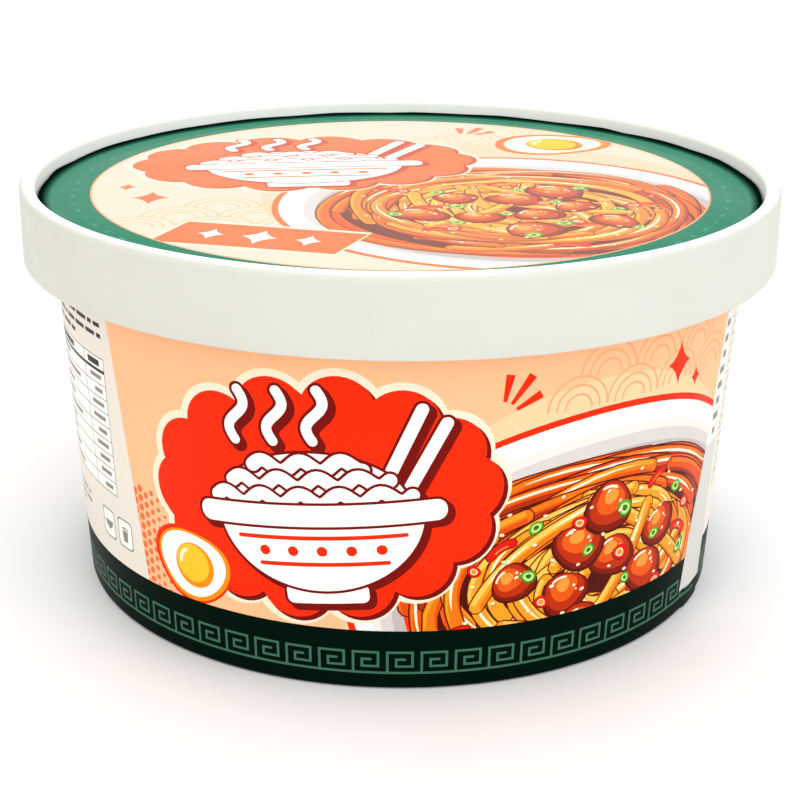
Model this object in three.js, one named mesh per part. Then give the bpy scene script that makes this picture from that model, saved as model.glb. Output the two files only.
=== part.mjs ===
// Shut paper noodle bowl with a two-piece paper lid.
// The bowl is a tapered tub on a foot ring, with a rolled rim at its mouth.
// The lid is a white ring, whose skirt hangs outside the rolled rim, and a printed disc with a turned-up edge.
// The origin is the middle of the base, on the table, with +Z up.
import * as THREE from 'three';

// Overall sizes, in millimetres.
const TOTAL_HEIGHT = 84.2;
const LID_RADIUS = 77.5;
const SKIRT_HEIGHT = 15.4;
const CREST_WIDTH = 3.2;
const BASE_RADIUS = 67.3;
const RADIUS_UNDER_SKIRT = 71.2;

// Paper and fit, in millimetres.
const SKIRT_THICKNESS = 0.9;
const DISC_THICKNESS = 0.6;
const DISC_DEPTH = 3.7;
const EDGE_DEPTH = 3.2;
const PAPER_GAP = 0.3;

// Foot and rolled rim of the bowl, in millimetres.
const FOOT_WIDTH = 2.4;
const FOOT_RECESS = 6.0;
const HEEL_ROUND = 1.0;
const FOOT_INNER_ROUND = 0.5;
const ROLL_RADIUS = 1.9;

// Rounding of the paper edges, in millimetres.
const SKIRT_EDGE_ROUND = 0.4;
const DISC_FOLD_ROUND = 0.25;
const DISC_EDGE_ROUND = 0.2;

// Steps of the turned shapes.
const TURN_STEPS = 80;
const ROLL_STEPS = 10;
const CREST_STEPS = 10;
const SMALL_STEPS = 3;

// Heights and radii that follow from the sizes above.
const skirtBottom = TOTAL_HEIGHT - SKIRT_HEIGHT;
const wallSlope = (RADIUS_UNDER_SKIRT - BASE_RADIUS) / skirtBottom;
const crestRadius = CREST_WIDTH / 2;
const crestCentre = { r: LID_RADIUS - crestRadius, z: TOTAL_HEIGHT - crestRadius };
const ringInnerRadius = LID_RADIUS - CREST_WIDTH;
const discTop = TOTAL_HEIGHT - DISC_DEPTH;
const discBottom = discTop - DISC_THICKNESS;
const discRadius = ringInnerRadius - PAPER_GAP;
const discEdgeTop = TOTAL_HEIGHT - EDGE_DEPTH;
const bowlTop = discBottom - PAPER_GAP;
const rollCentre = {
  r: LID_RADIUS - SKIRT_THICKNESS - PAPER_GAP - ROLL_RADIUS,
  z: bowlTop - ROLL_RADIUS,
};

function wallRadius(height) {
  return BASE_RADIUS + wallSlope * height;
}

function point(radius, height) {
  return new THREE.Vector2(radius, height);
}

// Points on an arc in the profile plane; angles in degrees, counted from the outward direction towards up.
function arc(centreRadius, centreHeight, radius, fromAngle, toAngle, steps) {
  const points = [];
  for (let step = 0; step <= steps; step += 1) {
    const angle = THREE.MathUtils.degToRad(fromAngle + ((toAngle - fromAngle) * step) / steps);
    points.push(point(centreRadius + radius * Math.cos(angle), centreHeight + radius * Math.sin(angle)));
  }
  return points;
}

// A body of revolution about +Z.
function turned(name, profile, material) {
  const geometry = new THREE.LatheGeometry(profile, TURN_STEPS);
  geometry.rotateX(Math.PI / 2);
  const mesh = new THREE.Mesh(geometry, material);
  mesh.name = name;
  return mesh;
}

// The tub: recessed base, foot ring, tapered wall, rolled rim and the closed top under the lid.
function bowl() {
  const footInner = BASE_RADIUS - FOOT_WIDTH;
  const rollUnderside = rollCentre.z - ROLL_RADIUS;
  const profile = [
    point(0, FOOT_RECESS),
    point(footInner, FOOT_RECESS),
    ...arc(footInner + FOOT_INNER_ROUND, FOOT_INNER_ROUND, FOOT_INNER_ROUND, 180, 270, SMALL_STEPS),
    ...arc(wallRadius(HEEL_ROUND) - HEEL_ROUND, HEEL_ROUND, HEEL_ROUND, 270, 360, SMALL_STEPS),
    point(wallRadius(rollUnderside), rollUnderside),
    ...arc(rollCentre.r, rollCentre.z, ROLL_RADIUS, 270, 450, ROLL_STEPS),
    point(0, bowlTop),
  ];
  const paper = new THREE.MeshStandardMaterial({ color: 0xfec598, roughness: 0.45, metalness: 0 });
  return turned('bowl', profile, paper);
}

// The white ring: rounded crest over the rolled rim, and a thin skirt that hangs clear of the wall.
function lidRing() {
  const skirtInner = LID_RADIUS - SKIRT_THICKNESS;
  const edgeHeight = skirtBottom + SKIRT_EDGE_ROUND;
  const rollClearance = ROLL_RADIUS + PAPER_GAP;
  const profile = [
    ...arc(skirtInner + SKIRT_EDGE_ROUND, edgeHeight, SKIRT_EDGE_ROUND, 180, 270, SMALL_STEPS),
    ...arc(LID_RADIUS - SKIRT_EDGE_ROUND, edgeHeight, SKIRT_EDGE_ROUND, 270, 360, SMALL_STEPS),
    ...arc(crestCentre.r, crestCentre.z, crestRadius, 0, 180, CREST_STEPS),
    point(ringInnerRadius, discBottom),
    ...arc(rollCentre.r, rollCentre.z, rollClearance, 90, 0, ROLL_STEPS / 2),
    point(skirtInner, edgeHeight),
  ];
  const whitePaper = new THREE.MeshStandardMaterial({ color: 0xf0f0e8, roughness: 0.6, metalness: 0 });
  return turned('lid_ring', profile, whitePaper);
}

// The printed disc: a flat paper plate whose edge is folded up inside the ring.
function lidDisc() {
  const edgeInner = discRadius - DISC_THICKNESS;
  const foldCentre = edgeInner - DISC_FOLD_ROUND;
  const edgeRoundHeight = discEdgeTop - DISC_EDGE_ROUND;
  const profile = [
    point(0, discBottom),
    point(discRadius, discBottom),
    ...arc(discRadius - DISC_EDGE_ROUND, edgeRoundHeight, DISC_EDGE_ROUND, 0, 90, SMALL_STEPS),
    ...arc(edgeInner + DISC_EDGE_ROUND, edgeRoundHeight, DISC_EDGE_ROUND, 90, 180, SMALL_STEPS),
    ...arc(foldCentre, discTop + DISC_FOLD_ROUND, DISC_FOLD_ROUND, 360, 270, SMALL_STEPS),
    point(0, discTop),
  ];
  const printedPaper = new THREE.MeshStandardMaterial({ color: 0x0b4a36, roughness: 0.35, metalness: 0 });
  return turned('lid_disc', profile, printedPaper);
}

const noodleBowl = new THREE.Group();
noodleBowl.name = 'noodle_bowl';
noodleBowl.add(bowl(), lidRing(), lidDisc());

export default noodleBowl;
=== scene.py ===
import math
import random
from collections import Counter

import bpy
import numpy as np
from mathutils import Matrix, Vector
from mathutils.bvhtree import BVHTree
from mathutils.geometry import delaunay_2d_cdt


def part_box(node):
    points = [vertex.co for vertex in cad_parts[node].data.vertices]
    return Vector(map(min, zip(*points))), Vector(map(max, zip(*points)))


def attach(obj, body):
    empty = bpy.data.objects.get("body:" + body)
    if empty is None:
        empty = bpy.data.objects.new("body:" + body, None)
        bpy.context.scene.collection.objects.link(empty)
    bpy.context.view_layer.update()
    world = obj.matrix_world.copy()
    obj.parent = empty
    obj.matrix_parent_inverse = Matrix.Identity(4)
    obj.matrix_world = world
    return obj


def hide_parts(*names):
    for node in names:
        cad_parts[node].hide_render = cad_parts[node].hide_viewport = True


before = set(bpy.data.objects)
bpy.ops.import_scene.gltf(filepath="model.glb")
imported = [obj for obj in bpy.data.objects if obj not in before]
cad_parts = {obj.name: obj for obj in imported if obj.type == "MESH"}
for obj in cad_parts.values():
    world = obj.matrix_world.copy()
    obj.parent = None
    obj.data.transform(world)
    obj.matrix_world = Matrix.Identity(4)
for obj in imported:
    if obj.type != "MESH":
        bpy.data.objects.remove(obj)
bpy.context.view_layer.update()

# A shut paper noodle bowl: printed wall, white lid ring and printed lid disc.
# Paper and print are laid out in millimetres; meshes are written in metres.
MM = 0.001
FULL_TURN = 2 * math.pi


def node_box(node):
    """Lowest and highest corner of a node's solid, in millimetres."""
    low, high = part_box(node)
    return low / MM, high / MM


# Heights and reaches of the solids
BOWL_TOP = node_box("bowl")[1].z
RING_LOW, RING_HIGH = node_box("lid_ring")
DISC_LOW, DISC_HIGH = node_box("lid_disc")
LID_RADIUS = RING_HIGH.x
CREST_TOP = RING_HIGH.z
SKIRT_BOTTOM = RING_LOW.z
DISC_RADIUS = DISC_HIGH.x
DISC_BOTTOM = DISC_LOW.z
EDGE_TOP = DISC_HIGH.z

# Wall, foot and rolled rim of the bowl
BASE_RADIUS = 67.3
RADIUS_UNDER_SKIRT = 71.2
WALL_SLOPE = (RADIUS_UNDER_SKIRT - BASE_RADIUS) / SKIRT_BOTTOM
HEEL_ROUND = 1.0
FOOT_WIDTH = 2.4
FOOT_RECESS = 6.0
FOOT_INNER_ROUND = 0.5
RECESS_ROUND = 1.2
ROLL_RADIUS = 1.9
WALL_TOP = BOWL_TOP - 2 * ROLL_RADIUS
SEAM_STEP = 0.35
SEAM_OVERLAP = 9.0
SEAM_RAMP = 2.2

# Lid ring and lid disc
CREST_WIDTH = 3.2
SKIRT_THICKNESS = 0.9
SKIRT_EDGE_ROUND = 0.4
PAPER_GAP = 0.3
ROLL_MIDDLE = LID_RADIUS - SKIRT_THICKNESS - PAPER_GAP - ROLL_RADIUS
DISC_THICKNESS = 0.6
DISC_TOP = DISC_BOTTOM + DISC_THICKNESS
BORDER_DIP = 0.4
BORDER_STEP = 1.2
FOLD_ROUND = 0.25
LIP_ROUND = 0.3
DISC_CHAMFER = 0.2
LID_SIDES = 336
LID_GRID_STEP = 4.0
PLEATS = 42
PLEAT_DEPTH = 0.3
PLEAT_DROP = 0.7
DOME_RISE = 0.8

# The wall print is a flat strip, cut at the glued seam to the right of the front
PRINT_RADIUS = 69.2
HALF_TURN = math.pi * PRINT_RADIUS
SEAM_PLACE = 80.5
STRIP_START = SEAM_PLACE - 2 * HALF_TURN
GRID_STEP = 2.4
CUT_TOLERANCE = 1e-4

# Seeds of the random draws
WALL_SEED = 11
LID_SEED = 29
PLEAT_SEED = 5

# Inks, as they look in even light
INKS = {
    "peach": "FABC8D",
    # Paler peach of the circle behind the plate: a printed circle, made paler as painted light on the lit
    # right side
    "light_peach": "FBCB9D",
    "pale_peach": "FFDDBD",
    "blush": "F7A577",
    "coral": "F4703F",
    "red": "FD2A04",
    "dark_red": "740C06",
    "white": "F7F7F1",
    "cream": "F8E4CA",
    "lid_cream": "F5D2BE",
    "panel": "E6DFD3",
    "strip_white": "F0EAE4",
    "strip_grey": "CFCFC8",
    "grey": "8A857D",
    "black": "2B2826",
    "green": "00120A",
    "teal": "3C6A57",
    "lid_green": "0A785A",
    # Near-black green of the lid's turned-up edge: painted shade over the lid's green
    "lid_edge_shade": "01150C",
    "mint": "2A8E70",
    "plate_white": "F6F3EF",
    "plate_light": "E6E1DC",
    "plate_grey": "D3CCC8",
    "plate_shade": "BDB4B0",
    "sauce": "F03A08",
    "gap": "4C0F03",
    "noodle_brown": "A52C06",
    "noodle_dark": "DE4C08",
    "noodle_deep": "F4740C",
    "noodle": "FC9A22",
    "noodle_light": "FFC456",
    "gleam": "FFF3D2",
    "glaze_dark": "7C1606",
    "glaze": "B62D07",
    "glaze_light": "E2560F",
    "amber": "FB9438",
    "leaf_dark": "2F6E1B",
    "leaf": "57A32E",
    "leaf_light": "C4E27E",
    "chilli": "DC180A",
    "sesame": "FCE9BE",
    "orange": "FE8E06",
    "yellow": "FFC22E",
    "bare_paper": "E9E6DC",
}

# Gloss of the varnish over the inks, where it isn't the usual one
WALL_GLOSS = 0.06
LID_GLOSS = 0.1
INK_GLOSS = {"green": 0.015, "lid_edge_shade": 0.0}

# Towards its edge the lid's green darkens and dulls in small steps: painted shade where the turned-up edge
# and the ring shade the border
EDGE_STEPS = 8
EDGE_STEP_WIDTH = 0.22


def mixed(first, second, part):
    """Colour code between two others."""
    pairs = zip(bytes.fromhex(first), bytes.fromhex(second))
    return "".join(f"{round(start + (end - start) * part):02X}" for start, end in pairs)


for edge_step in range(1, EDGE_STEPS):
    edge_shade_green = f"edge_green_{edge_step}"
    INKS[edge_shade_green] = mixed(INKS["lid_green"], INKS["lid_edge_shade"], edge_step / EDGE_STEPS)
    INK_GLOSS[edge_shade_green] = LID_GLOSS * (1 - edge_step / EDGE_STEPS) ** 3

# On the lid some inks take other shades. The reds and the food inks are paler, a painted sheen that stands
# in for the glare over the lid's print; the pale peach there is a deeper shade.
LID_PAINTED_SHEEN_INKS = {
    "pale_peach": "F2C9AA",
    "red": "E67848",
    "dark_red": "C4553A",
}
LID_FOOD_SHEEN = 0.28
FOOD_INKS = [
    "sauce", "gap", "noodle_brown", "noodle_dark", "noodle_deep", "noodle",
    "glaze_dark", "glaze", "glaze_light", "amber", "leaf_dark", "leaf", "chilli",
]
for food_ink in FOOD_INKS:
    LID_PAINTED_SHEEN_INKS[food_ink] = mixed(INKS[food_ink], INKS["lid_cream"], LID_FOOD_SHEEN)


# Flat outlines

def turns(count):
    """Angles of one whole turn in even steps."""
    return [FULL_TURN * step / count for step in range(count)]


def ellipse(x, y, reach_x, reach_y, sides=40):
    return [Vector((x + reach_x * math.cos(turn), y + reach_y * math.sin(turn))) for turn in turns(sides)]


def circle(x, y, radius, sides=24):
    return ellipse(x, y, radius, radius, sides)


def bar(x, y, width, height, corner=0.0, corner_steps=4):
    """Upright rectangle about a point, with rounded corners where a corner radius is given."""
    reach_x = width / 2 - corner
    reach_y = height / 2 - corner
    outline = []
    for quarter, (side_x, side_y) in enumerate([(1, 1), (-1, 1), (-1, -1), (1, -1)]):
        centre = Vector((x + side_x * reach_x, y + side_y * reach_y))
        if not corner:
            outline.append(centre)
            continue
        for step in range(corner_steps + 1):
            turn = math.pi / 2 * (quarter + step / corner_steps)
            outline.append(centre + corner * Vector((math.cos(turn), math.sin(turn))))
    return outline


def left_normals(path):
    """Unit vectors to the left of a path, one at each of its points."""
    normals = []
    for index in range(len(path)):
        ahead = path[min(index + 1, len(path) - 1)]
        behind = path[max(index - 1, 0)]
        along = (ahead - behind).normalized()
        normals.append(Vector((-along.y, along.x)))
    return normals


def strip(path, low, high):
    """Outline between two offsets to the left of a path, each given for every point."""
    normals = left_normals(path)
    near = [point + normal * offset for point, normal, offset in zip(path, normals, low)]
    far = [point + normal * offset for point, normal, offset in zip(path, normals, high)]
    return near + far[::-1]


def ribbon(path, width, cap_steps=4):
    """Outline of an even band along a path, with round ends."""
    half = width / 2
    normals = left_normals(path)
    outline = [point - normal * half for point, normal in zip(path, normals)]
    for end, way in ((-1, 1), (0, -1)):
        across = normals[end] * half * way
        ahead = Vector((across.y, -across.x))
        for step in range(1, cap_steps):
            turn = math.pi * step / cap_steps
            outline.append(path[end] - across * math.cos(turn) + ahead * math.sin(turn))
        if end == -1:
            outline += [point + normal * half for point, normal in zip(path[::-1], normals[::-1])]
    return outline


def arc(x, y, reach_x, reach_y, start, sweep, steps):
    """Path along part of an ellipse; angles in radians."""
    path = []
    for step in range(steps + 1):
        turn = start + sweep * step / steps
        path.append(Vector((x + reach_x * math.cos(turn), y + reach_y * math.sin(turn))))
    return path


def wave(start, end, swing, swings, steps):
    """Path from one point to another that sways to both sides."""
    along = end - start
    across = Vector((-along.y, along.x)).normalized()
    path = []
    for step in range(steps + 1):
        part = step / steps
        path.append(start + along * part + across * swing * math.sin(FULL_TURN * swings * part))
    return path


def pebble(rng, reach_x, reach_y, unevenness, sides=16):
    """Rounded outline with a few soft bumps."""
    phases = [rng.uniform(0, FULL_TURN) for lobes in (2, 3)]
    outline = []
    for turn in turns(sides):
        swell = 1 + unevenness * sum(math.sin(lobes * turn + phase) for lobes, phase in zip((2, 3), phases))
        outline.append(Vector((reach_x * swell * math.cos(turn), reach_y * swell * math.sin(turn))))
    return outline


def placed(fields, x, y, turn=0.0, size=1.0):
    """Fields drawn about the origin, moved to their place on the sheet."""
    across = Vector((math.cos(turn), math.sin(turn))) * size
    up = Vector((-across.y, across.x))
    middle = Vector((x, y))
    moved = []
    for outline, ink in fields:
        moved.append(([middle + across * point.x + up * point.y for point in outline], ink))
    return moved


def inked(fields, ink):
    """The same fields, all in one ink."""
    return [(outline, ink) for outline, old_ink in fields]


def edged(outline, edge, edge_ink, ink):
    """A field with a line of another ink round it."""
    return [(ribbon(outline + outline[:1], 2 * edge), edge_ink), (outline, ink)]


# Noodles and toppings

NOODLE_WIDTH = 2.8
NOODLE_GAP = 0.28
STRAND_STEPS = 22
SHADE_EDGE = 0.12
LIGHT_EDGE = 0.04
LIGHT_WIDTH = 0.86
PICTURE_LIGHT = Vector((-0.45, 0.89))
GOLDEN_ANGLE = FULL_TURN * 0.381966
NOODLE_TONES = [
    ("noodle_brown", "gap", "noodle_dark"),
    ("noodle_dark", "noodle_brown", "noodle_deep"),
    ("noodle_deep", "noodle_dark", "noodle"),
    ("noodle", "noodle_deep", "noodle_light"),
]


def gleam(path, facing, width, start, end):
    """Lens-shaped line of light along part of a strand, on the side that faces the light."""
    part = path[start:end]
    low = []
    high = []
    for step, lit in enumerate(facing[start:end]):
        middle = 0.22 * width * lit
        half = 0.1 * width * math.sin(math.pi * (step + 0.3) / (len(part) - 0.4))
        low.append(middle - half)
        high.append(middle + half)
    return strip(part, low, high)


def side_runs(path, facing, width, inner_edge):
    """Outlines along the side of a strand that turns away from the light.

    The inner edge is where the run begins, as a part of the width from the middle of the strand.
    """
    outlines = []
    start = 0
    for step in range(1, len(path) + 1):
        if step < len(path) and facing[step] * facing[start] > 0:
            continue
        part = path[start:step]
        if len(part) > 2:
            inner = [width * (0.5 - (0.5 - inner_edge) * abs(lit)) for lit in facing[start:step]]
            outer = [width * 0.5] * len(part)
            if facing[start] > 0:
                outlines.append(strip(part, [-reach for reach in outer], [-reach for reach in inner]))
            else:
                outlines.append(strip(part, inner, outer))
        start = step
    return outlines


def noodle(rng, path, tone, width=NOODLE_WIDTH):
    """One glossy strand: dark gap, rounded body, shaded side, light side and broken lines of light."""
    body, shade, light = tone
    facing = [normal.dot(PICTURE_LIGHT) for normal in left_normals(path)]
    turned_away = [-lit for lit in facing]
    fields = [(ribbon(path, width + 2 * NOODLE_GAP), "gap"), (ribbon(path, width), body)]
    fields += [(outline, shade) for outline in side_runs(path, facing, width, SHADE_EDGE)]
    lit_runs = side_runs(path, turned_away, width * LIGHT_WIDTH, LIGHT_EDGE)
    fields += [(outline, light) for outline in lit_runs]
    first = rng.randint(1, 6)
    length = rng.randint(5, 9)
    fields.append((gleam(path, facing, width, first, first + length), "gleam"))
    if rng.random() < 0.5:
        fields.append((gleam(path, facing, width, first + length + 2, len(path) - 1), "gleam"))
    return fields


def nest_strand(rng, reach_x, reach_y, depth):
    """Path of one strand of a nest; depth runs from 0 at its rim to 1 at its middle."""
    reach = 1 - 0.84 * depth
    start = rng.uniform(0, FULL_TURN)
    sweep = rng.uniform(1.7, 3.0)
    sway = rng.uniform(0.02, 0.09)
    phase = rng.uniform(0, FULL_TURN)
    drift = Vector((rng.uniform(-0.08, 0.08) * reach_x, rng.uniform(-0.08, 0.08) * reach_y))
    path = []
    for step in range(STRAND_STEPS):
        turn = start + sweep * step / (STRAND_STEPS - 1)
        swell = reach * (1 + sway * math.sin(3 * turn + phase))
        path.append(drift + Vector((reach_x * swell * math.cos(turn), reach_y * swell * math.sin(turn))))
    return path


def crossing_strand(rng, reach_x, reach_y):
    """Path of a strand that lies across the heap in a loose bow."""
    turn = rng.uniform(0, FULL_TURN)
    way = Vector((math.cos(turn), math.sin(turn)))
    side = Vector((-way.y, way.x))
    middle = side * rng.uniform(-0.5, 0.5)
    bow = rng.uniform(-0.3, 0.3)
    half = rng.uniform(0.45, 0.62)
    path = []
    for step in range(STRAND_STEPS):
        part = 2 * step / (STRAND_STEPS - 1) - 1
        spot = middle + way * half * part + side * bow * (1 - part * part)
        path.append(Vector((reach_x * spot.x, reach_y * spot.y)))
    return path


def noodle_nest(rng, reach_x, reach_y, strands, crossings):
    """A heap of strands, laid from its rim inwards, lighter towards the top."""
    fields = [(ellipse(0, 0, reach_x * 0.96, reach_y * 0.96), "gap")]
    for strand in range(strands):
        depth = strand / strands
        tone = NOODLE_TONES[min(3, max(0, int(4.0 * depth + rng.uniform(0.2, 1.8))))]
        fields += noodle(rng, nest_strand(rng, reach_x, reach_y, depth), tone)
    for crossing in range(crossings):
        fields += noodle(rng, crossing_strand(rng, reach_x, reach_y), NOODLE_TONES[3])
    return fields


def glazed_chunk(rng, size):
    """A chunk with a dark glaze that gets lighter towards its top, and small lights."""
    block = pebble(rng, size, size * 0.84, 0.06, 20)
    fields = placed([(block, "gap")], 0, -0.05 * size, 0, 1.08)
    fields.append((block, "glaze_dark"))
    fields += placed([(block, "glaze")], -0.05 * size, 0.09 * size, 0.0, 0.86)
    fields += placed([(block, "glaze_light")], -0.13 * size, 0.22 * size, 0.3, 0.6)
    fields += placed([(block, "amber")], -0.2 * size, 0.33 * size, 0.6, 0.3)
    shine = arc(-0.08 * size, 0.12 * size, 0.66 * size, 0.56 * size, 1.75, 0.9, 6)
    fields.append((ribbon(shine, 0.09 * size, 3), "gleam"))
    fields.append((circle(0.28 * size, 0.36 * size, 0.06 * size, 8), "gleam"))
    fields.append((circle(0.42 * size, 0.22 * size, 0.04 * size, 8), "gleam"))
    return fields


def onion_ring(rng, size):
    """A slice of spring onion."""
    outer = pebble(rng, size, size * 0.82, 0.05, 14)
    fields = [(outer, "leaf_dark")]
    fields += placed([(outer, "leaf")], -0.04 * size, 0.08 * size, 0, 0.88)
    fields += placed([(outer, "leaf_light")], 0, 0, 0, 0.64)
    fields += placed([(outer, "leaf_dark")], 0, 0.03 * size, 0, 0.36)
    return fields


def chilli_ring(rng, size):
    """A slice of chilli."""
    outer = pebble(rng, size, size * 0.85, 0.05, 14)
    fields = [(outer, "dark_red")]
    fields += placed([(outer, "chilli")], 0, 0.06 * size, 0, 0.9)
    fields += placed([(outer, "cream")], 0, 0, 0, 0.52)
    fields += placed([(outer, "orange")], 0, 0, 0, 0.38)
    return fields


def chilli_strip(rng, size):
    """A curled slice of chilli skin."""
    path = arc(0, -size * 1.6, size * 1.9, size * 1.9, 1.2, 0.9, 10)
    fields = [(ribbon(path, size * 0.72), "dark_red"), (ribbon(path, size * 0.56), "chilli")]
    fields.append((strip(path[2:9], [size * 0.08] * 7, [size * 0.17] * 7), "amber"))
    return fields


def sesame_seed(rng, size):
    seed = ellipse(0, 0, size, size * 0.62, 8)
    return [(seed, "noodle_brown")] + placed([(seed, "sesame")], -0.05, 0.08, 0, 0.86)


def scattered(rng, maker, count, reach_x, reach_y, size, spread):
    """Small toppings over a heap, evenly spread by the golden angle; a maker draws each one."""
    fields = []
    offset = rng.uniform(0, FULL_TURN)
    for index in range(count):
        reach = math.sqrt((index + 0.6) / count)
        turn = offset + GOLDEN_ANGLE * index
        x = reach_x * reach * math.cos(turn) + rng.uniform(-1, 1)
        y = reach_y * reach * math.sin(turn) + rng.uniform(-1, 1)
        made = maker(rng, size * rng.uniform(1 - spread, 1 + spread))
        fields += placed(made, x, y, rng.uniform(-0.7, 0.7))
    return fields


def noodle_plate(rng, reach_x, reach_y):
    """A white plate with a red line round it, heaped with noodles and toppings."""
    fields = [
        (ellipse(0, 0, reach_x + 1.3, reach_y + 1.3, 90), "red"),
        (ellipse(0, 0, reach_x, reach_y, 90), "plate_light"),
        (ellipse(-0.6, 0.7, reach_x * 0.985, reach_y * 0.975, 90), "plate_white"),
        (ellipse(0, -0.6, reach_x * 0.93, reach_y * 0.91, 80), "plate_light"),
        (ellipse(0.6, -1.4, reach_x * 0.905, reach_y * 0.875, 80), "plate_grey"),
        (ellipse(1.4, -2.6, reach_x * 0.87, reach_y * 0.83, 72), "plate_shade"),
        (ellipse(1.0, -2.0, reach_x * 0.82, reach_y * 0.79, 72), "sauce"),
    ]
    heap_x = reach_x * 0.79
    heap_y = reach_y * 0.77
    food = noodle_nest(rng, heap_x, heap_y, 62, 5)
    food += scattered(rng, chilli_strip, 9, heap_x * 0.85, heap_y * 0.85, 3.0, 0.2)
    food += scattered(rng, glazed_chunk, 9, heap_x * 0.56, heap_y * 0.58, 5.3, 0.16)
    food += scattered(rng, chilli_ring, 7, heap_x * 0.75, heap_y * 0.75, 1.8, 0.2)
    food += scattered(rng, onion_ring, 12, heap_x * 0.72, heap_y * 0.72, 1.7, 0.25)
    food += scattered(rng, sesame_seed, 60, heap_x * 0.86, heap_y * 0.86, 0.6, 0.12)
    return fields + placed(food, 0.6, -1.2)


def fried_egg(rng):
    """Egg with a large yolk and an orange and red edge."""
    white = pebble(rng, 10.0, 8.4, 0.05, 32)
    fields = placed([(white, "red")], 0, 0, 0, 1.2)
    fields += placed([(white, "orange")], 0.2, -0.2, 0, 1.1)
    fields.append((white, "white"))
    fields.append((circle(0.7, -0.4, 5.9, 32), "orange"))
    fields.append((circle(0.3, 0.2, 5.0, 32), "yellow"))
    fields.append((ribbon(arc(0.3, 0.2, 3.6, 3.6, 1.9, 1.1, 8), 0.9), "gleam"))
    return fields


# Badge and small ornaments

SIGN_EDGE = 0.6


def bowl_sign(ink="white", edge_ink="dark_red"):
    """Plain sign of a bowl of wavy noodles with chopsticks and steam, about 50 mm wide."""
    shapes = []
    for x in (-15, -7, 1):
        shapes.append(ribbon(wave(Vector((x, 12)), Vector((x + 2, 22.5)), 1.4, 1, 20), 2.1, 8))
    for x, tip in ((11, Vector((22.4, 17.4))), (16, Vector((26.8, 14.0)))):
        shapes.append(ribbon([Vector((x, -3)), tip], 2.5, 8))
    shapes.append(arc(-1, -3, 19.5, 12.5, 0, math.pi, 36))
    for half, height in ((11, 6.8), (16, 3.2), (20, -0.4)):
        strand = wave(Vector((-half - 1, height)), Vector((half - 1, height)), 1.1, half / 4, 4 * half)
        shapes.append(ribbon(strand, 2.8, 8))
    shapes.append(bar(0, -21.2, 17, 4.2, 1.4, 6))
    shapes.append(arc(0, -4, 21, 16.5, math.pi, math.pi, 40))
    shapes.append(bar(0, -4, 51, 4.6, 2.1, 6))
    fields = []
    for shape in shapes:
        fields += edged(shape, SIGN_EDGE, edge_ink, ink)
    return fields


def bowl_ornament(ink="red"):
    """Two lines and a row of dots on the bowl of the sign."""
    fields = [(bar(0, -8.8, 35, 0.9, 0.45), ink), (bar(0, -14.6, 27, 0.9, 0.45), ink)]
    for step in range(5):
        fields.append((circle(6 * (step - 2), -11.7, 1.1, 18), ink))
    return fields


def cloud(reach_x, reach_y, scallops, scallop_radius, ink):
    """Cloud-edged field: a ring of round scallops about an oval."""
    fields = [(ellipse(0, 0, reach_x, reach_y, 48), ink)]
    for turn in turns(scallops):
        fields.append((circle(reach_x * math.cos(turn), reach_y * math.sin(turn), scallop_radius, 36), ink))
    return fields


def red_badge():
    """Red cloud with a pale edge and a white bowl sign that casts a dark line to its right."""
    fields = cloud(29.5, 19.0, 14, 9.0, "cream")
    fields += placed(cloud(29.5, 19.0, 14, 7.5, "dark_red"), 0.7, -0.8)
    fields += cloud(29.5, 19.0, 14, 7.4, "red")
    sign = placed(bowl_sign(), 0, 0.5)
    fields += placed(inked(sign, "dark_red"), 0.9, -1.0)
    return fields + sign + placed(bowl_ornament(), 0, 0.5)


def sparkle(size, ink="red"):
    """Four-pointed star with hollow sides."""
    outline = []
    for turn in turns(24):
        x = math.copysign(abs(math.cos(turn)) ** 3, math.cos(turn))
        y = math.copysign(abs(math.sin(turn)) ** 3, math.sin(turn))
        outline.append(Vector((0.78 * size * x, size * y)))
    return [(outline, ink)]


def red_tag():
    """Red slanted tag with three white sparkles."""
    slant = [Vector((-19, -7)), Vector((16.5, -7)), Vector((19, 7)), Vector((-16.5, 7))]
    fields = edged(slant, 1.2, "cream", "red")
    for x, size in ((-9.5, 3.4), (0, 4.6), (9.5, 3.4)):
        fields += placed(sparkle(size, "white"), x, 0)
    return fields


def cloud_scallops(columns, rows, radius, ink):
    """Rows of nested line arcs, each row half a step to the side of the one below."""
    fields = []
    for row in range(rows):
        for column in range(columns - row):
            x = radius * (2 * column + row)
            y = radius * 0.95 * row
            for size in (1.0, 0.72, 0.44):
                path = arc(x, y, radius * size, radius * size, 0, math.pi, 14)
                fields.append((ribbon(path, 0.42, 3), ink))
    return fields


def dot_fade(columns, rows, pitch, ink):
    """Staggered dots that shrink from left to right."""
    fields = []
    for column in range(columns):
        radius = 0.46 * pitch * (1 - column / columns)
        for row in range(rows):
            x = pitch * 0.87 * column
            y = pitch * (row + 0.5 * (column % 2))
            fields.append((circle(x, y, radius, 8), ink))
    return fields


def burst_ticks(ink="red"):
    """Three short strokes that spread from one point."""
    fields = []
    for turn, length in ((2.5, 5.2), (2.05, 6.4), (1.6, 5.2)):
        way = Vector((math.cos(turn), math.sin(turn)))
        path = [way * 3.2, way * (3.2 + length)]
        fields.append((strip(path, [-0.35, -0.85], [0.35, 0.85]), ink))
    return fields


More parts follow.
